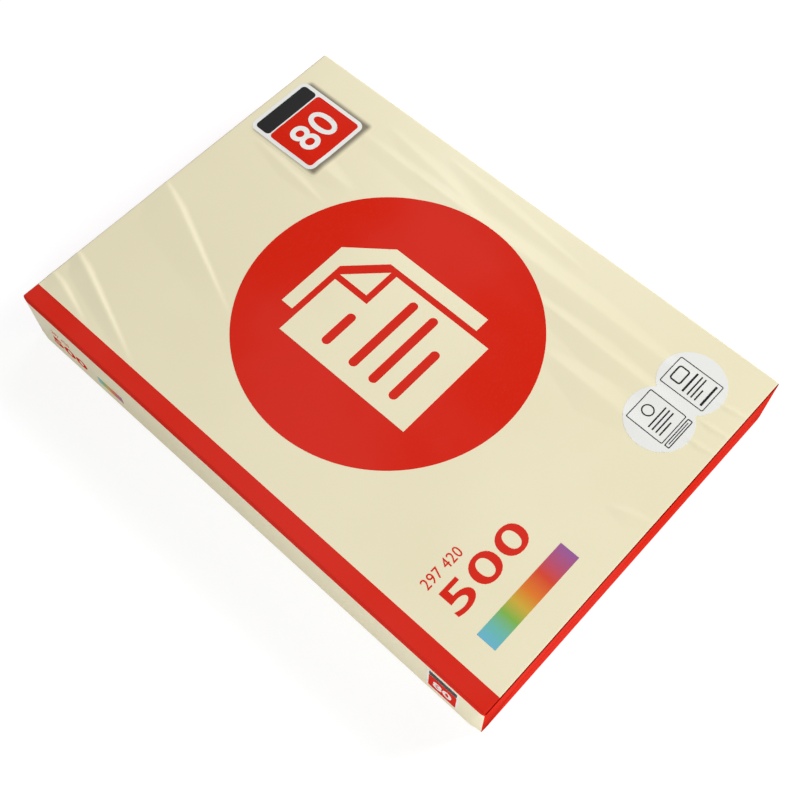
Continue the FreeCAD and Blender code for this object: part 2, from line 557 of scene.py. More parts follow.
@dataclass
class Press:
    """Finishes each mesh: it presses the relief in, names the finish and hands the piece over."""

    relief: bpy.types.NodeTree
    finishes: dict[Ink, bpy.types.Material]
    pieces: list[bpy.types.Object] = field(default_factory=list)

    def socket(self, name: str) -> str:
        """Return the identifier of the relief tree's named input."""
        for item in self.relief.interface.items_tree:
            if item.in_out == "INPUT" and item.name == name:
                return item.identifier
        raise KeyError(name)

    def finish(self, name: str, mesh: bpy.types.Mesh, ground: Ink) -> bpy.types.Object:
        """Turn a flat mesh into a finished piece.

        Args:
            name: the piece's name.
            mesh: its mesh, in place, before the relief.
            ground: the finish of its faces, apart from those marked as inked or for the painted
                fold shade.

        Returns:
            The piece, with a plain mesh.
        """
        piece = bpy.data.objects.new(name, mesh)
        bpy.context.scene.collection.objects.link(piece)
        modifier = piece.modifiers.new("relief", "NODES")
        modifier.node_group = self.relief
        modifier[self.socket("Ground")] = self.finishes[ground]
        modifier[self.socket("Inked")] = self.finishes[Ink.RED]
        # The round folds at the ends get a painted shade, a darker red.
        modifier[self.socket("Painted Fold Shade")] = self.finishes[Ink.PAINTED_FOLD_SHADE]
        bpy.context.view_layer.update()
        graph = bpy.context.evaluated_depsgraph_get()
        pressed = bpy.data.meshes.new_from_object(piece.evaluated_get(graph), depsgraph=graph)
        pressed.name = name
        piece.modifiers.remove(modifier)
        piece.data = pressed
        bpy.data.meshes.remove(mesh)
        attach(piece, "root")
        self.pieces.append(piece)
        log.info("%s: %d faces", name, len(pressed.polygons))
        return piece


@dataclass(frozen=True)
class Face:
    """A flat side of the pack that print or a flap lies on."""

    origin: Vector
    right: Vector
    up: Vector

    def place(self, flat: np.ndarray, lift: np.ndarray) -> np.ndarray:
        """Put flat points on the face, each lifted off it.

        Args:
            flat: the points, across and up the face.
            lift: how far each stands off it.

        Returns:
            The points in space.
        """
        out = self.right.cross(self.up)
        return (
            np.array(self.origin)
            + flat[:, :1] * np.array(self.right)
            + flat[:, 1:] * np.array(self.up)
            + lift[:, None] * np.array(out)
        )


def polygon(points: Iterable[Spot]) -> Outline:
    """Return a closed polygon's sides, in metres from millimetres."""
    corners = np.array(list(points), float) * MM
    return np.stack([corners, np.roll(corners, -1, axis=0)], 1)


def circle(x: float, y: float, radius: float, steps: int = 160) -> Outline:
    """Return a circle's sides, in metres from millimetres."""
    turn = np.linspace(0, 2 * math.pi, steps, endpoint=False)
    return polygon(zip(x + radius * np.cos(turn), y + radius * np.sin(turn)))


def twin_discs(centres: Sequence[Spot], radius: float, steps: int = 72) -> Outline:
    """Return the sides round two discs of one size that overlap, side by side.

    Args:
        centres: the left centre and the right one, at one height, in millimetres.
        radius: the radius of both, in millimetres.
        steps: how many points each disc has.

    Returns:
        The sides, in metres.
    """
    (x0, y), (x1, _) = centres
    half = math.acos((x1 - x0) / 2 / radius)
    left = np.linspace(half, 2 * math.pi - half, steps)
    right = np.linspace(-math.pi + half, math.pi - half, steps)[1:-1]
    across = np.concatenate([x0 + radius * np.cos(left), x1 + radius * np.cos(right)])
    up = np.concatenate([y + radius * np.sin(left), y + radius * np.sin(right)])
    return polygon(zip(across, up))


def box(
    x0: float, y0: float, x1: float, y1: float, radius: float = 0.0, steps: int = 6
) -> Outline:
    """Return a rectangle's sides, in metres from millimetres.

    Args:
        x0: its left edge.
        y0: its foot.
        x1: its right edge.
        y1: its head.
        radius: the radius of its corners, or 0 for sharp ones.
        steps: how many sides each round corner has.

    Returns:
        The sides, in metres.
    """
    if radius <= 0:
        return polygon(((x0, y0), (x1, y0), (x1, y1), (x0, y1)))
    corners = (
        (x1 - radius, y0 + radius, -90),
        (x1 - radius, y1 - radius, 0),
        (x0 + radius, y1 - radius, 90),
        (x0 + radius, y0 + radius, 180),
    )
    points = []
    for cx, cy, first in corners:
        for step in range(steps + 1):
            turn = math.radians(first + 90 * step / steps)
            points.append((cx + radius * math.cos(turn), cy + radius * math.sin(turn)))
    return polygon(points)


def numerals(
    text: str, x: float, y: float, height: float, width: float, weight: float
) -> Outline:
    """Return the outlines of plain numerals that fill a given width and height.

    Args:
        text: the numerals.
        x: their left edge, in millimetres.
        y: their foot, in millimetres.
        height: their height, in millimetres.
        width: their whole width, in millimetres.
        weight: how much the strokes are fattened, as a share of the type size.

    Returns:
        The sides of every outline and every hole.
    """
    smoothness, spacing = 6, 1.06
    curve = bpy.data.curves.new("numerals", "FONT")
    curve.body = text
    curve.offset = weight
    curve.resolution_u = smoothness
    curve.space_character = spacing
    holder = bpy.data.objects.new("numerals", curve)
    bpy.context.scene.collection.objects.link(holder)
    bpy.context.view_layer.update()
    graph = bpy.context.evaluated_depsgraph_get()
    mesh = bpy.data.meshes.new_from_object(holder.evaluated_get(graph), depsgraph=graph)
    bpy.data.objects.remove(holder)
    uses: dict[tuple[int, int], int] = {}
    for face in mesh.polygons:
        for key in face.edge_keys:
            uses[key] = uses.get(key, 0) + 1
    spots = np.array([v.co[:2] for v in mesh.vertices])
    sides = spots[np.array([key for key, count in uses.items() if count == 1])]
    bpy.data.meshes.remove(mesh)
    low, high = sides.min((0, 1)), sides.max((0, 1))
    scale = np.array([width, height]) / (high - low)
    return ((sides - low) * scale + (x, y)) * MM


def split(outline: Outline, pitch: float) -> Outline:
    """Divide each side of an outline so that none is longer than the pitch."""
    parts = []
    for a, b in outline:
        steps = max(1, math.ceil(math.dist(a, b) / pitch))
        spots = a + (b - a) * np.linspace(0, 1, steps + 1)[:, None]
        parts.append(np.stack([spots[:-1], spots[1:]], 1))
    return np.concatenate(parts)


def inside(points: np.ndarray, outline: Outline) -> np.ndarray:
    """Tell which points lie within an outline, where a loop within another is a hole."""
    found = np.zeros(len(points), bool)
    for a, b in outline:
        if a[1] != b[1]:
            crosses = (a[1] > points[:, 1]) != (b[1] > points[:, 1])
            at = a[0] + (points[:, 1] - a[1]) * (b[0] - a[0]) / (b[1] - a[1])
            found ^= crosses & (points[:, 0] < at)
    return found


def off_the_line(points: np.ndarray, outline: Outline, gap: float) -> np.ndarray:
    """Tell which points keep a gap from every side of an outline."""
    no_length = 1e-18
    clear = np.ones(len(points), bool)
    for a, b in outline:
        along = b - a
        share = np.clip(((points - a) @ along) / max(along @ along, no_length), 0, 1)
        near = a + share[:, None] * along
        clear &= np.hypot(*(points - near).T) > gap
    return clear


@dataclass
class Film:
    """A thin closed sheet of any outline: a film of ink, or a flap of paper.

    The grid inside keeps off the border by a share of its pitch. Points nearer to one another
    than merge_gap, in millimetres, become one.
    """

    name: str
    face: Face
    outline: Outline
    lift: float | Callable[[np.ndarray], np.ndarray]
    sink: float = 0.05 * MM
    pitch: float = 2.5 * MM
    border_gap: float = 0.4
    merge_gap: float = 1e-4
    least_area: float = (0.002 * MM) ** 2

    def mesh(self) -> bpy.types.Mesh:
        """Fill the outline with even triangles, give it a thickness and close its edge.

        Returns:
            The closed mesh, with its sharp edges marked.
        """
        border = split(self.outline, self.pitch)
        corners = border.reshape(-1, 2)
        low, high = corners.min(0), corners.max(0)
        across = np.arange(low[0] + self.pitch / 2, high[0], self.pitch)
        along = np.arange(low[1] + self.pitch / 2, high[1], self.pitch)
        grid = np.stack(np.meshgrid(across, along), -1).reshape(-1, 2)
        grid = grid[inside(grid, self.outline)]
        grid = grid[off_the_line(grid, self.outline, self.border_gap * self.pitch)]
        edges = [(2 * i, 2 * i + 1) for i in range(len(border))]
        unit = 1.0 / MM
        points = [Vector(p) for p in np.concatenate([corners, grid]) * unit]
        spots, _, faces, *_ = delaunay_2d_cdt(points, edges, [], 0, self.merge_gap, False)
        flat = np.array([tuple(s) for s in spots]) / unit
        faces = np.array([f for f in faces if len(f) == 3])
        faces = faces[inside(flat[faces].mean(1), self.outline)]
        used, faces = np.unique(faces, return_inverse=True)
        flat, faces = flat[used], faces.reshape(-1, 3)
        first, second, third = (flat[faces[:, corner]] for corner in range(3))
        (bx, by), (cx, cy) = (second - first).T, (third - first).T
        twice_area = bx * cy - by * cx
        faces[twice_area < 0] = faces[twice_area < 0][:, ::-1]
        faces = faces[np.abs(twice_area) > self.least_area]
        lift = self.lift(flat) if callable(self.lift) else np.full(len(flat), self.lift)
        outer = self.face.place(flat, lift)
        inner = self.face.place(flat, np.full(len(flat), -self.sink))
        count = len(flat)
        halves = np.concatenate([faces[:, [0, 1]], faces[:, [1, 2]], faces[:, [2, 0]]])
        known = {tuple(h) for h in halves.tolist()}
        rim = [(p, q) for p, q in halves.tolist() if (q, p) not in known]
        walls = [(q, p, p + count, q + count) for p, q in rim]
        made = bpy.data.meshes.new(self.name)
        made.from_pydata(
            np.concatenate([outer, inner]).tolist(),
            [],
            faces.tolist() + (faces[:, ::-1] + count).tolist() + walls,
        )
        made.validate()
        smooth(made, 2 * len(faces))
        return made


def smooth(mesh: bpy.types.Mesh, count: int, sharpest: float = math.radians(32)) -> None:
    """Shade the first faces of a mesh smooth and leave the rest flat.

    Args:
        mesh: the mesh.
        count: how many of its faces are smooth.
        sharpest: the angle from which an edge stays sharp.
    """
    flags = np.zeros(len(mesh.polygons), bool)
    flags[:count] = True
    mesh.polygons.foreach_set("use_smooth", flags)
    mesh.set_sharp_from_angle(angle=sharpest)
    mesh.update()


@dataclass
class Wrapper:
    """The sheet round the stack: its sleeve, its lap underneath and the flaps at its ends."""

    sizes: PackSizes
    stripe_on_label: float = 14.0 * MM
    stripe_on_side: float = 4.6 * MM
    label_pitch: float = 1.25 * MM
    length_pitch: float = 1.5 * MM
    base_pitch: float = 15.0 * MM
    right_pitch: float = 3.0 * MM
    stripe_pitch: float = 1.0 * MM
    left_pitch: float = 2.5 * MM
    lap_step: float = 0.05 * MM
    slack: float = 0.01 * MM
    facing_up: float = 0.5
    fold_steps: int = 8
    end_fold_steps: int = 6
    flap_pitch: float = 2.5 * MM
    flap_depth: float = 32.0 * MM
    flap_slant: float = math.radians(45)
    flap_margin: float = 0.6 * MM
    flap_gap: float = 0.02 * MM
    flap_sink: float = 0.1 * MM

    def section(self) -> tuple[np.ndarray, np.ndarray, np.ndarray]:
        """Lay out the sleeve's section, anticlockwise as seen from the near end.

        Returns:
            Its points across and up, the outward direction at each, and which lie in the stripe.
        """
        s = self.sizes
        w, top, base, r = s.half_width, s.top, s.layer, s.long_fold
        points: list[Spot] = []
        normals: list[Spot] = []

        def run(a: Spot, b: Spot, out: Spot, pitch: float) -> None:
            """Add a straight run without its last point."""
            steps = max(1, round(math.dist(a, b) / pitch))
            for i in range(steps):
                share = i / steps
                points.append((a[0] + (b[0] - a[0]) * share, a[1] + (b[1] - a[1]) * share))
                normals.append(out)

        def bend(centre: Spot, first: float) -> None:
            """Add a quarter turn without its last point."""
            for i in range(self.fold_steps):
                turn = math.radians(first + 90 * i / self.fold_steps)
                out = (math.cos(turn), math.sin(turn))
                points.append((centre[0] + r * out[0], centre[1] + r * out[1]))
                normals.append(out)

        stripe_x = -w + self.stripe_on_label
        stripe_z = top - self.stripe_on_side
        lap_start = -w + r + s.layer_run_out
        bare_start = s.lap_edge + self.lap_step
        run((-w + r, base), (lap_start, base), (0, -1), self.base_pitch)
        run((lap_start, base), (s.lap_edge, base), (0, -1), self.base_pitch)
        run((s.lap_edge, base), (bare_start, base), (0, -1), self.base_pitch)
        run((bare_start, base), (w - r, base), (0, -1), self.base_pitch)
        bend((w - r, base + r), -90)
        run((w, base + r), (w, top - r), (1, 0), self.right_pitch)
        bend((w - r, top - r), 0)
        run((w - r, top), (stripe_x, top), (0, 1), self.label_pitch)
        run((stripe_x, top), (-w + r, top), (0, 1), self.label_pitch)
        bend((-w + r, top - r), 90)
        run((-w, top - r), (-w, stripe_z), (-1, 0), self.stripe_pitch)
        run((-w, stripe_z), (-w, base + r), (-1, 0), self.left_pitch)
        bend((-w + r, base + r), 180)
        flat = np.array(points)
        striped = (flat[:, 0] <= stripe_x + self.slack) & (flat[:, 1] >= stripe_z - self.slack)
        return flat, np.array(normals), striped

    def stations(self) -> tuple[np.ndarray, np.ndarray, np.ndarray]:
        """Lay out where the sleeve's rings stand along the pack.

        Returns:
            Each ring's place, how far it is drawn in, and which rings are past a fold.
        """
        r = self.sizes.end_fold
        turn = np.radians(np.linspace(90, 90 / self.end_fold_steps, self.end_fold_steps))
        away = self.sizes.tuck_plane - r
        count = round(2 * away / self.length_pitch)
        middle = np.linspace(-away, away, count + 1)
        near = -(away + r * np.sin(turn))
        near_in = r - r * np.cos(turn)
        along = np.concatenate([near, middle, -near[::-1]])
        drawn = np.concatenate([near_in, np.zeros(len(middle)), near_in[::-1]])
        red_from = (math.sin(turn[-1]) + math.sin(turn[-2])) / 2
        return along, drawn, np.abs(along) > away + red_from * r

    def sleeve(self) -> bpy.types.Mesh:
        """Build the sleeve with its stripe, its lap and its closed ends.

        Returns:
            A closed mesh whose faces in the stripe and on the ends are marked as inked, and
            those facing up on the fold between the label and each end for a painted shade, a darker
            red.
        """
        s = self.sizes
        flat, normals, striped = self.section()
        along, drawn, past = self.stations()
        ring, rows = len(flat), len(along)
        rounded = flat[None] - drawn[:, None, None] * normals[None]
        across, up = rounded[..., 0], rounded[..., 1]
        fade_x = np.clip((flat[:, 0] + s.half_width - s.long_fold) / s.layer_run_out, 0, 1)
        fade_y = np.clip((s.tuck_plane - s.end_fold - np.abs(along)) / s.layer_run_out, 0, 1)
        lapped = (normals[:, 1] == -1) & (flat[:, 0] <= s.lap_edge + self.slack)
        up = up - s.layer * fade_y[:, None] * (fade_x * lapped)[None]
        stations = np.broadcast_to(along[:, None], across.shape)
        vertices = np.stack([across, stations, up], -1).reshape(-1, 3)
        faces, inked, painted_fold_shade = [], [], []
        for row in range(rows - 1):
            for i in range(ring):
                j = (i + 1) % ring
                this, after = row * ring, (row + 1) * ring
                faces.append((after + i, after + j, this + j, this + i))
                in_stripe = striped[i] and striped[j]
                past_fold = past[row] and past[row + 1]
                faces_up = min(normals[i, 1], normals[j, 1]) > self.facing_up
                inked.append(bool(in_stripe or past_fold))
                # Painted shade: the upward faces of the fold at each end are marked for a darker
                # red.
                painted_fold_shade.append(bool(past_fold and faces_up))
        walls = len(faces)
        faces.append(tuple(range(ring)))
        faces.append(tuple((rows - 1) * ring + i for i in reversed(range(ring))))
        inked += [True, True]
        painted_fold_shade += [False, False]
        made = bpy.data.meshes.new("wrapper_sleeve")
        made.from_pydata(vertices.tolist(), [], faces)
        for name, flags in ((INKED, inked), (PAINTED_FOLD_SHADE_MARK, painted_fold_shade)):
            made.attributes.new(name, "BOOLEAN", "FACE").data.foreach_set("value", flags)
        smooth(made, walls)
        return made

    def end_face(self, side: int) -> Face:
        """Return the flat end at one side, 1 for the far end and -1 for the near one."""
        origin = Vector((0.0, side * self.sizes.tuck_plane, 0.0))
        return Face(origin, Vector((-float(side), 0.0, 0.0)), Vector((0.0, 0.0, 1.0)))

    def flap(self, name: str, side: int, downwards: bool, layers: int) -> Film:
        """Lay out one flap of an end, narrowing from its fold to its free edge.

        Args:
            name: the flap's name.
            side: 1 for the far end and -1 for the near one.
            downwards: whether its fold is at the label, or under the pack.
            layers: how many thicknesses of paper it stands out at its free edge.

        Returns:
            The flap as a film that runs out to its height from its fold.
        """
        s = self.sizes
        fold = s.top - s.end_fold if downwards else s.layer + s.end_fold
        free = s.top - self.flap_depth if downwards else self.flap_depth
        half = s.half_width - s.end_fold - self.flap_margin
        step = s.end_fold / math.tan(self.flap_slant)
        fold_half = half - step
        free_half = half - abs(free - fold) / math.tan(self.flap_slant) - step
        corners = ((-fold_half, fold), (fold_half, fold), (free_half, free), (-free_half, free))
        outline = polygon(corners) / MM

        def lift(flat: np.ndarray) -> np.ndarray:
            """Rise from the fold over the run-out, then stay at the layer's height."""
            share = np.clip(np.abs(flat[:, 1] - fold) / s.layer_run_out, 0.0, 1.0)
            return s.layer * layers * share + self.flap_gap

        return Film(name, self.end_face(side), outline, lift, self.flap_sink, self.flap_pitch)

    def build(self, press: Press) -> None:
        """Make the sleeve and the four flaps, and let the sleeve stand for the solid pack."""
        sleeve = press.finish("wrapper_sleeve", self.sleeve(), Ink.GROUND)
        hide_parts(NODE)
        for side, end in ((-1, "near"), (1, "far")):
            for name, downwards, layers in (("top", True, 1), ("bottom", False, 2)):
                flap = self.flap(f"{end}_{name}_flap", side, downwards, layers)
                press.finish(flap.name, flap.mesh(), Ink.RED)


@dataclass
class LabelPrint:
    """The print on the label face, in millimetres from its middle.

    A box is its left edge, foot, right edge and head, and then the radius of its corners where
    they are round. A page's rule is its middle and its length, as shares of the page's height
    and width. A frame is two boxes, one inside the other, and its line lies between them. Numerals
    are their text, left edge, foot, height, width and weight.
    """

    sizes: PackSizes
    ink_lift: float = 0.11 * MM
    pitch: float = 1.4 * MM
    disc: tuple[float, float, float] = (4.4, 9.6, 107.0)
    disc_steps: int = 240
    page: Bounds = (-47.0, -52.0, 37.0, 62.0)
    page_rules: tuple[Spot, ...] = ((0.74, 0.36), (0.52, 0.78), (0.36, 0.78), (0.20, 0.56))
    rule_height: float = 6.8
    rule_radius: float = 3.3
    rule_margin: float = 12.0
    back_page_shift: Spot = (17.0, 15.0)
    page_gap: float = 5.0
    dog_ear: float = 25.0
    strip: Bounds = (-115.5, -189.5, -36.5, -175.0)
    sheet_size: Figures = ("297 420", -115.3, -135.6, 7.6, 33.0, 0.0)
    sheet_count: Figures = ("500", -114.8, -161.3, 20.0, 70.0, 0.012)
    seals: tuple[Spot, Spot] = ((72.8, -167.8), (108.5, -167.8))
    seal_radius: float = 23.8
    seal_frame_1: tuple[RoundBox, RoundBox] = (
        (59.5, -180.0, 86.5, -150.3, 1.2),
        (60.1, -179.4, 85.9, -150.9, 0.8),
    )
    seal_frame_2: tuple[RoundBox, RoundBox] = (
        (96.0, -185.3, 120.3, -150.3, 1.2),
        (96.6, -184.7, 119.7, -150.9, 0.8),
    )
    seal_ring: tuple[tuple[float, float, float, int], ...] = (
        (73.0, -158.5, 4.5, 40),
        (73.0, -158.5, 3.6, 36),
    )
    seal_bars_1: tuple[Bounds | RoundBox, ...] = (
        (63.5, -166.6, 82.5, -165.6),
        (63.5, -169.6, 82.5, -168.6),
        (63.5, -172.6, 82.5, -171.6),
        (63.5, -175.6, 76.0, -174.6),
        (60.0, -185.4, 86.0, -181.4, 0.8),
        (60.7, -184.7, 85.3, -182.1, 0.4),
        (62.5, -183.7, 83.5, -183.1),
    )
    seal_bars_2: tuple[Bounds | RoundBox, ...] = (
        (101.6, -162.6, 114.8, -153.6, 2.2),
        (102.7, -161.5, 113.7, -154.7, 1.2),
        (99.5, -167.2, 117.0, -165.8),
        (99.5, -170.8, 117.0, -169.8),
        (99.5, -173.8, 117.0, -172.8),
        (99.5, -176.8, 109.0, -175.8),
        (99.0, -182.4, 117.4, -180.8, 0.4),
    )
    badge: Bounds = (60.5, 139.0, 118.5, 203.0)
    badge_radius: float = 6.0
    badge_rim: float = 3.2
    badge_field_height: float = 46.0
    badge_band_gap: float = 1.2
    badge_inner_radius: float = 3.0
    badge_number: Figures = ("80", 72.0, 151.5, 25.0, 35.0, 0.012)
    shade: tuple[Spot, Spot] = ((62.5, 138.0), (118.5, 196.0))
    shade_reach: float = 5.0

    @property
    def face(self) -> Face:
        """The flat of the label."""
        return Face(Vector((0, 0, self.sizes.top)), Vector((1, 0, 0)), Vector((0, 1, 0)))

    def lay(
        self, press: Press, name: str, outlines: Sequence[Outline], ink: Ink, coats: int = 1
    ) -> None:
        """Print one shape.

        Args:
            press: what finishes it.
            name: the piece's name.
            outlines: its outlines and holes.
            ink: its finish.
            coats: how many coats of ink lie one on another there, with its own.
        """
        lift = coats * self.ink_lift
        film = Film(name, self.face, np.concatenate(outlines), lift, pitch=self.pitch)
        press.finish(name, film.mesh(), ink)

    def pages(self, press: Press) -> None:
        """Print the motif in the disc: an upright page with a turned corner and one behind it."""
        x0, y0, x1, y1 = self.page
        ear, gap = self.dog_ear, self.page_gap
        sheet = (
            (x0, y0),
            (x1, y0),
            (x1, y1 - ear - gap),
            (x1 - ear - gap, y1 - ear - gap),
            (x1 - ear - gap, y1),
            (x0, y1),
        )
        front = [polygon(sheet)]
        left = x0 + self.rule_margin
        for height, length in self.page_rules:
            foot = y0 + (y1 - y0) * height - self.rule_height / 2
            right = left + (x1 - x0) * length
            front.append(box(left, foot, right, foot + self.rule_height, self.rule_radius))
        self.lay(press, "print_front_page", front, Ink.KNOCKOUT, 2)
        corner = polygon(((x1 - ear, y1 - ear), (x1, y1 - ear), (x1 - ear, y1)))
        self.lay(press, "print_page_corner", [corner], Ink.KNOCKOUT, 2)
        dx, dy = self.back_page_shift
        back = polygon(
            (
                (x1 + gap, y0 + dy),
                (x1 + dx, y0 + dy),
                (x1 + dx, y1 + dy - ear - gap),
                (x1 + dx - ear, y1 + dy),
                (x0 + dx, y1 + dy),
                (x0 + dx, y1 + gap),
                (x1 - ear + gap, y1 + gap),
                (x1 + gap, y1 - ear + gap),
            )
        )
        self.lay(press, "print_back_page", [back], Ink.KNOCKOUT, 2)

    def build_seals(self, press: Press) -> None:
        """Print the two white discs with their framed panels of plain bars."""
        self.lay(press, "print_seal_discs", [twin_discs(self.seals, self.seal_radius)], Ink.WHITE)
        frame = [box(*sides) for sides in self.seal_frame_1]
        self.lay(press, "print_seal_frame_1", frame, Ink.DARK, 2)
        frame = [box(*sides) for sides in self.seal_frame_2]
        self.lay(press, "print_seal_frame_2", frame, Ink.DARK, 2)
        ring = [circle(*round_line) for round_line in self.seal_ring]
        bars = [box(*sides) for sides in self.seal_bars_1]
        self.lay(press, "print_seal_bars_1", ring + bars, Ink.DARK, 2)
        bars = [box(*sides) for sides in self.seal_bars_2]
        self.lay(press, "print_seal_bars_2", bars, Ink.DARK, 2)

    def build_badge(self, press: Press) -> None:
        """Print the panel at the head: a soft shade, a white edge, a dark band, a number on red."""
        x0, y0, x1, y1 = self.badge
        rim, inner = self.badge_rim, self.badge_inner_radius
        field_top = y0 + self.badge_field_height
        band_foot = field_top + self.badge_band_gap
        (left, foot), (right, head) = self.shade
        reach = self.shade_reach
        shade = box(left - reach, foot - reach, right + reach, head + reach, reach)
        self.lay(press, "print_badge_shade", [shade], Ink.SHADE)
        edge = box(x0, y0, x1, y1, self.badge_radius)
        self.lay(press, "print_badge_edge", [edge], Ink.WHITE, 2)
        lower = box(x0 + rim, y0 + rim, x1 - rim, field_top, inner)
        self.lay(press, "print_badge_field", [lower], Ink.RED, 3)
        upper = box(x0 + rim, band_foot, x1 - rim, y1 - rim, inner)
        self.lay(press, "print_badge_band", [upper], Ink.DARK, 3)
        self.lay(press, "print_badge_number", [numerals(*self.badge_number)], Ink.WHITE, 4)

    def build(self, press: Press) -> None:
        """Print every field of the label."""
        self.lay(press, "print_disc", [circle(*self.disc, steps=self.disc_steps)], Ink.RED)
        self.pages(press)
        self.lay(press, "print_spectrum", [box(*self.strip)], Ink.SPECTRUM)
        self.lay(press, "print_sheet_size", [numerals(*self.sheet_size)], Ink.RED)
        self.lay(press, "print_sheet_count", [numerals(*self.sheet_count)], Ink.RED)
        self.build_seals(press)
        self.build_badge(press)


@dataclass
class SidePrint:
    """The small print on the left long side, in millimetres from its middle and its foot."""

    sizes: PackSizes
    ink_lift: float = 0.08 * MM
    pitch: float = 2.0 * MM
    strip: Bounds = (-141.5, 12.2, -116.0, 20.8)
    sheet_size: Figures = ("297 420", -187.5, 27.2, 3.9, 19.0, 0.0)
    sheet_count: Figures = ("500", -189.0, 12.6, 10.2, 36.0, 0.03)
    badge: Bounds = (165.6, 8.0, 191.0, 43.0)
    badge_radius: float = 3.0
    badge_rim: float = 1.6
    badge_field_height: float = 25.0
    badge_band_gap: float = 0.6
    badge_inner_radius: float = 1.4
    badge_number: Figures = ("80", 170.8, 15.0, 12.0, 15.0, 0.03)

    @property
    def face(self) -> Face:
        """The flat of the side, read with the label upwards."""
        return Face(Vector((-self.sizes.half_width, 0, 0)), Vector((0, -1, 0)), Vector((0, 0, 1)))

    def lay(self, press: Press, name: str, outline: Outline, ink: Ink, coats: int = 1) -> None:
        """Print one shape.

        Args:
            press: what finishes it.
            name: the piece's name.
            outline: its outline, with its holes.
            ink: its finish.
            coats: how many coats of ink lie one on another there, with its own.
        """
        film = Film(name, self.face, outline, coats * self.ink_lift, pitch=self.pitch)
        press.finish(name, film.mesh(), ink)

    def build(self, press: Press) -> None:
        """Print the side's two numbers, its colour strip and its framed panel."""
        self.lay(press, "side_sheet_size", numerals(*self.sheet_size), Ink.RED)
        self.lay(press, "side_sheet_count", numerals(*self.sheet_count), Ink.RED)
        self.lay(press, "side_spectrum", box(*self.strip), Ink.SIDE_SPECTRUM)
        x0, y0, x1, y1 = self.badge
        rim, inner = self.badge_rim, self.badge_inner_radius
        field_top = y0 + self.badge_field_height
        band_foot = field_top + self.badge_band_gap
        edge = box(x0, y0, x1, y1, self.badge_radius)
        self.lay(press, "side_badge_edge", edge, Ink.WHITE)
        lower = box(x0 + rim, y0 + rim, x1 - rim, field_top, inner)
        self.lay(press, "side_badge_field", lower, Ink.RED, 2)
        upper = box(x0 + rim, band_foot, x1 - rim, y1 - rim, inner)
        self.lay(press, "side_badge_band", upper, Ink.DARK, 2)
        self.lay(press, "side_badge_number", numerals(*self.badge_number), Ink.WHITE, 3)


@dataclass(frozen=True)
class SoftLight:
    """One large soft lamp, placed by where it hangs from what it lights.

    Where glossy is off, the coat doesn't mirror it, and its glare washes no print out.
    """

    name: str
    away: tuple[float, float, float]
    size: float
    power: float
    glossy: bool = True

    def build(self, aim: Vector) -> None:
        """Hang the lamp and turn it to the pack."""
        lamp = bpy.data.lights.new(self.name, "AREA")
        lamp.shape = "SQUARE"
        lamp.size = self.size
        lamp.energy = self.power
        holder = bpy.data.objects.new(self.name, lamp)
        holder.location = aim + Vector(self.away)
        holder.rotation_euler = (-Vector(self.away)).to_track_quat("-Z", "Y").to_euler()
        holder.visible_glossy = self.glossy
        bpy.context.scene.collection.objects.link(holder)


@dataclass(frozen=True)
class Viewpoint:
    """Where the picture is taken from, and with what lens."""

    place: tuple[float, float, float]
    azimuth: float
    elevation: float
    focal_pixels: float
    picture_pixels: float = 800.0
    sensor: float = 36.0
    furthest: float = 20.0

    def build(self) -> None:
        """Set the camera up."""
        data = bpy.data.cameras.new("camera")
        data.sensor_fit = "HORIZONTAL"
        data.sensor_width = self.sensor
        data.lens = self.focal_pixels * self.sensor / self.picture_pixels
        data.clip_end = self.furthest
        camera = bpy.data.objects.new("camera", data)
        camera.location = Vector(self.place) * MM
        tilt, swing = math.radians(90 - self.elevation), math.radians(-self.azimuth)
        camera.rotation_euler = Euler((tilt, 0, swing))
        bpy.context.scene.collection.objects.link(camera)
        bpy.context.scene.camera = camera


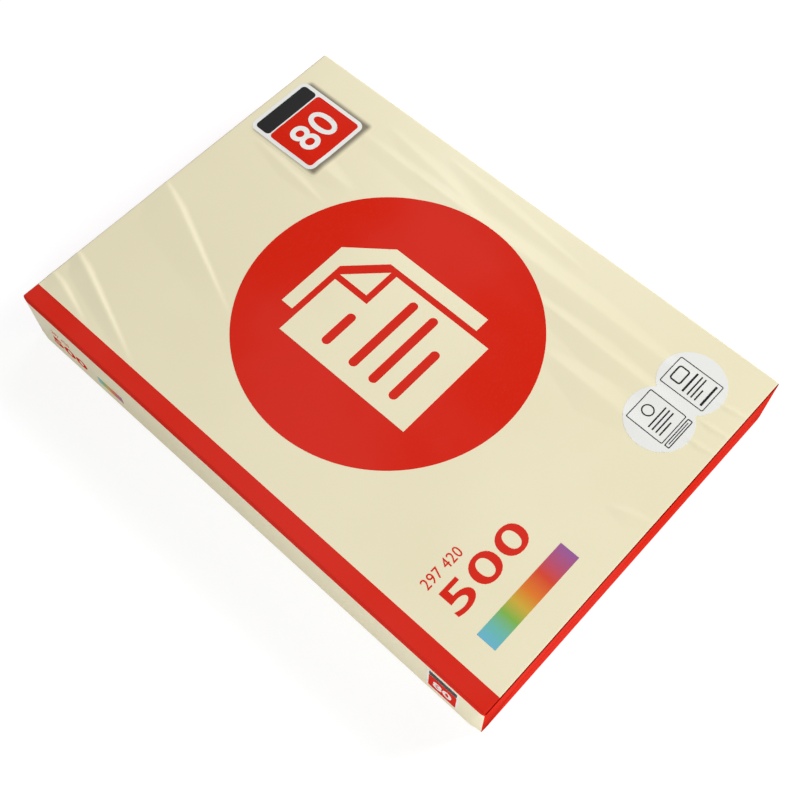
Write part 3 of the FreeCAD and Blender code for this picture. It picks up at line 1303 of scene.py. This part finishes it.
@dataclass(frozen=True)
class Studio:
    """The plain pale room: a floor, soft light all round and the large lamps.

    To the camera the floor mixes its own lit face with an even white. The white's share grows
    from glow_share at the distance glow_near to all of it at glow_far.
    """

    floor_size: float = 8.0
    floor_colour: Colour = (244, 244, 244)
    sky_level: float = 0.375
    floor_glow: float = 1.15
    glow_share: float = 0.7
    glow_near: float = 0.8
    glow_far: float = 2.2

    def floor(self) -> bpy.types.Object:
        """Lay the floor, which shows white to the camera and keeps the pack's shadow.

        Returns:
            The floor.
        """
        half = self.floor_size / 2
        corners = [(-half, -half, 0), (half, -half, 0), (half, half, 0), (-half, half, 0)]
        mesh = bpy.data.meshes.new("floor")
        mesh.from_pydata(corners, [], [(0, 1, 2, 3)])
        floor = bpy.data.objects.new("floor", mesh)
        bpy.context.scene.collection.objects.link(floor)
        made = bpy.data.materials.new("floor_card")
        made.use_nodes = True
        made.node_tree.nodes.clear()
        graph = Graph(made.node_tree)
        card = graph.add("ShaderNodeBsdfDiffuse", {"Color": linear(self.floor_colour)})
        seen = graph.add("ShaderNodeLightPath").outputs["Is Camera Ray"]
        glow = graph.add("ShaderNodeEmission", {"Strength": self.floor_glow})
        distance = graph.vector("LENGTH", graph.add("ShaderNodeTexCoord").outputs["Object"])
        beyond = graph.ramp(distance, self.glow_near, self.glow_far)
        growth = graph.math("MULTIPLY", beyond, 1.0 - self.glow_share)
        share = graph.math("MULTIPLY", seen, graph.math("ADD", self.glow_share, growth))
        both = graph.add("ShaderNodeMixShader", {0: share, 1: card.outputs[0], 2: glow.outputs[0]})
        graph.add("ShaderNodeOutputMaterial", {"Surface": both.outputs[0]})
        mesh.materials.append(made)
        return floor

    def sky(self) -> None:
        """Light the room evenly, and show white behind the floor."""
        world = bpy.data.worlds.new("room")
        bpy.context.scene.world = world
        world.use_nodes = True
        world.node_tree.nodes.clear()
        graph = Graph(world.node_tree)
        path = graph.add("ShaderNodeLightPath").outputs
        level = graph.math("MAXIMUM", path["Is Camera Ray"], self.sky_level)
        light = graph.add("ShaderNodeBackground", {"Color": (1, 1, 1, 1), "Strength": level})
        graph.add("ShaderNodeOutputWorld", {"Surface": light.outputs[0]})

    def build(self, lamps: Sequence[SoftLight], viewpoint: Viewpoint, aim: Vector) -> None:
        """Make the floor, the light and the camera.

        Args:
            lamps: the large lamps.
            viewpoint: where the picture is taken from.
            aim: what the lamps point at.
        """
        self.floor()
        self.sky()
        for lamp in lamps:
            lamp.build(aim)
        viewpoint.build()
        bpy.context.scene.view_settings.view_transform = "Standard"


CREAM: Colour = (235, 227, 194)
RED: Colour = (212, 50, 39)
# Painted shade on the round fold between the label and each end, darker than the red ink.
PAINTED_FOLD_SHADE_RED: Colour = (112, 14, 12)
WHITE: Colour = (231, 232, 228)
DARK: Colour = (30, 28, 30)

CREASES = (
    Crease((-120.5, 214.5), (-124.0, 197.0), (-134.0, 160.0), 1.1, 13.0, 3.6),
    Crease((-97.7, 214.5), (-104.0, 195.0), (-134.0, 112.0), 1.3, 12.0, 4.0),
    Crease((-14.5, 214.5), (-25.0, 186.0), (-64.0, 92.0), 1.1, 28.0, 4.6),
    Crease((55.0, 192.0), (51.0, 152.0), (47.0, 112.0), 0.55, 8.0, 6.0),
    Crease((75.0, 190.0), (70.0, 146.0), (69.0, 104.0), 0.85, 16.0, 12.0),
    Crease((130.0, 128.0), (123.0, 70.0), (115.0, 20.0), 0.5, 14.0, 8.0),
    Crease((139.0, 76.0), (135.0, 20.0), (129.0, -64.0), 0.55, 12.0, 6.0),
    Crease((112.0, 150.0), (110.5, -80.0), (109.5, -192.0), 1.3, 22.0, 11.0),
    Crease((90.0, -30.0), (88.0, -110.0), (87.0, -180.0), 1.15, 16.0, 9.0),
    Crease((62.0, -78.0), (60.0, -125.0), (60.0, -174.0), 1.1, 18.0, 13.0),
    Crease((74.0, -187.0), (75.0, -198.0), (76.9, -216.0), 0.6, 3.6, 2.8),
    Crease((90.0, -186.0), (91.0, -197.0), (93.1, -216.0), 0.6, 3.6, 2.8),
    Crease((108.5, -187.0), (110.0, -198.0), (112.8, -216.0), 0.6, 3.6, 2.8),
    Crease((2.0, -180.0), (7.0, -194.0), (14.3, -216.0), 0.6, 9.0, 5.0),
)

LAMPS = (
    SoftLight("right_softbox", (2.06, -1.20, 1.57), 1.0, 57.8, glossy=False),
    SoftLight("front_softbox", (-0.86, -0.87, 0.32), 0.75, 7.4, glossy=False),
    SoftLight("back_softbox", (1.00, 0.54, 1.12), 0.6, 4.8),
)

VIEWPOINT = Viewpoint((-296.07, -279.79, 755.38), 47.196, 62.905, 1208.2)


def finishes(label: LabelPrint, side: SidePrint) -> dict[Ink, bpy.types.Material]:
    """Make each ink's material once.

    Args:
        label: the print on the label, for the places of its strip and its shade.
        side: the print on the side, for the place of its strip.

    Returns:
        The material of each ink.
    """
    low, high = (tuple(v * MM for v in corner) for corner in label.shade)
    reach = label.shade_reach * MM
    left, _, right, _ = (v * MM for v in label.strip)
    far, _, near, _ = (-v * MM for v in side.strip)
    inks = {
        Ink.SHADE: ShadeInk(Ink.SHADE.value, CREAM, low=low, high=high, reach=reach),
        Ink.PAINTED_FOLD_SHADE: PlainInk(Ink.PAINTED_FOLD_SHADE.value, PAINTED_FOLD_SHADE_RED, specular=0.0, coat=0.0),
        Ink.GROUND: PlainInk(Ink.GROUND.value, CREAM),
        Ink.KNOCKOUT: PlainInk(Ink.KNOCKOUT.value, CREAM),
        Ink.RED: PlainInk(Ink.RED.value, RED, specular=0.0, coat=0.0, mottle=0.02),
        Ink.WHITE: PlainInk(Ink.WHITE.value, WHITE, mottle=0.015),
        Ink.DARK: PlainInk(Ink.DARK.value, DARK, specular=0.2, coat=0.03, mottle=0.05),
        Ink.SPECTRUM: SpectrumInk(Ink.SPECTRUM.value, CREAM, start=left, end=right),
        Ink.SIDE_SPECTRUM: SpectrumInk(
            Ink.SIDE_SPECTRUM.value, CREAM, axis="Y", start=far, end=near
        ),
    }
    return {ink: paper.material() for ink, paper in inks.items()}


def main() -> None:
    """Build the wrapper, its print and the studio, and report each piece."""
    logging.basicConfig(level=logging.INFO, format="%(name)s %(message)s")
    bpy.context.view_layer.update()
    sizes = PackSizes(*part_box(NODE))
    label = LabelPrint(sizes)
    side = SidePrint(sizes)
    press = Press(Relief(sizes, CREASES).tree(), finishes(label, side))
    Wrapper(sizes).build(press)
    label.build(press)
    side.build(press)
    Studio().build(LAMPS, VIEWPOINT, Vector((0.0, 0.0, sizes.top)))
    log.info("pieces: %d", len(press.pieces))


if __name__ == "__main__":
    main()
